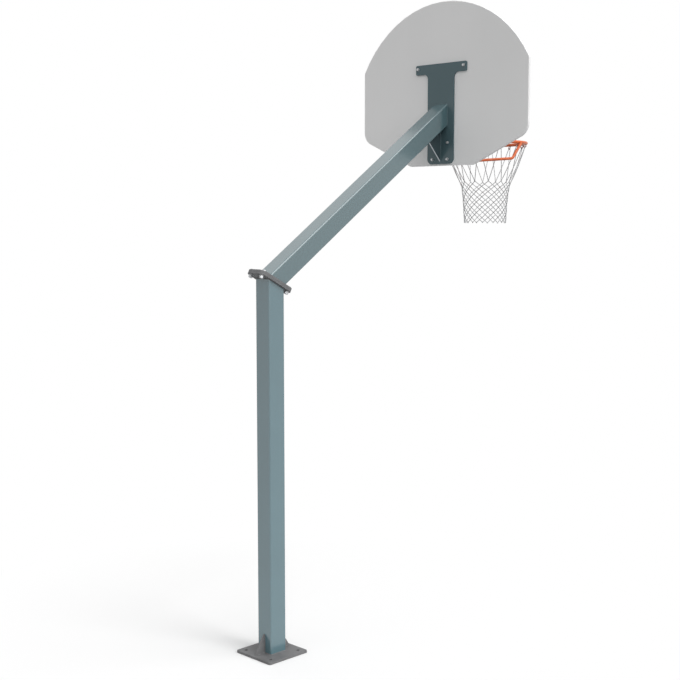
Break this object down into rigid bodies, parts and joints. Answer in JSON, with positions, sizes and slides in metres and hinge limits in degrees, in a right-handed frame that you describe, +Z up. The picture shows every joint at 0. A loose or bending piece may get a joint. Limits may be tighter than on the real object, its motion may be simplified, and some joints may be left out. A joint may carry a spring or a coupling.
{
  "type": "basketball post",
  "caption": "Basketball post: a cranked square tube on a base plate carries a fan shaped board out over the court, with a fixed rim and a net.",
  "frame": {"origin": "centre of the base plate's underside, on the ground", "axes": "+X from the post towards the court, the way the board faces; +Y to the left of someone who looks along +X; +Z up"},
  "size_m": [2.031, 1.18, 3.35],
  "materials": {
    "steel_paint": "gloss blue-grey paint",
    "grey_steel": "satin grey coat on steel",
    "board": "matt light grey panel",
    "rim_paint": "satin orange-red paint",
    "zinc": "bright zinc plate",
    "cord": "pale grey cord"
  },
  "bodies": {
    "root": {"post_tube": "steel_paint", "boom_tube": "steel_paint", "board_bracket": "steel_paint", "bracket_gusset": "steel_paint", "base_plate": "grey_steel", "base_gusset_back": "grey_steel", "base_gusset_front": "grey_steel", "post_flange": "grey_steel", "boom_flange": "grey_steel", "backboard": "board", "rim_plate": "rim_paint", "rim_neck": "rim_paint", "rim_ring": "rim_paint", "rim_brace_left": "rim_paint", "rim_brace_right": "rim_paint", "net_hook_01": "rim_paint", "net_hook_02": "rim_paint", "net_hook_03": "rim_paint", "net_hook_04": "rim_paint", "net_hook_05": "rim_paint", "net_hook_06": "rim_paint", "net_hook_07": "rim_paint", "net_hook_08": "rim_paint", "net_hook_09": "rim_paint", "net_hook_10": "rim_paint", "net_hook_11": "rim_paint", "net_hook_12": "rim_paint", "flange_bolt_1": "zinc", "flange_bolt_2": "zinc", "flange_bolt_3": "zinc", "flange_bolt_4": "zinc", "flange_nut_1": "zinc", "flange_nut_2": "zinc", "flange_nut_3": "zinc", "flange_nut_4": "zinc", "bracket_bolt_1": "zinc", "bracket_bolt_2": "zinc", "bracket_nut_1": "zinc", "bracket_nut_2": "zinc", "rim_bolt_1": "zinc", "rim_bolt_2": "zinc", "rim_bolt_3": "zinc", "rim_bolt_4": "zinc", "rim_nut_1": "zinc", "rim_nut_2": "zinc", "rim_nut_3": "zinc", "rim_nut_4": "zinc", "net": "cord"}
  },
  "joints": []
}
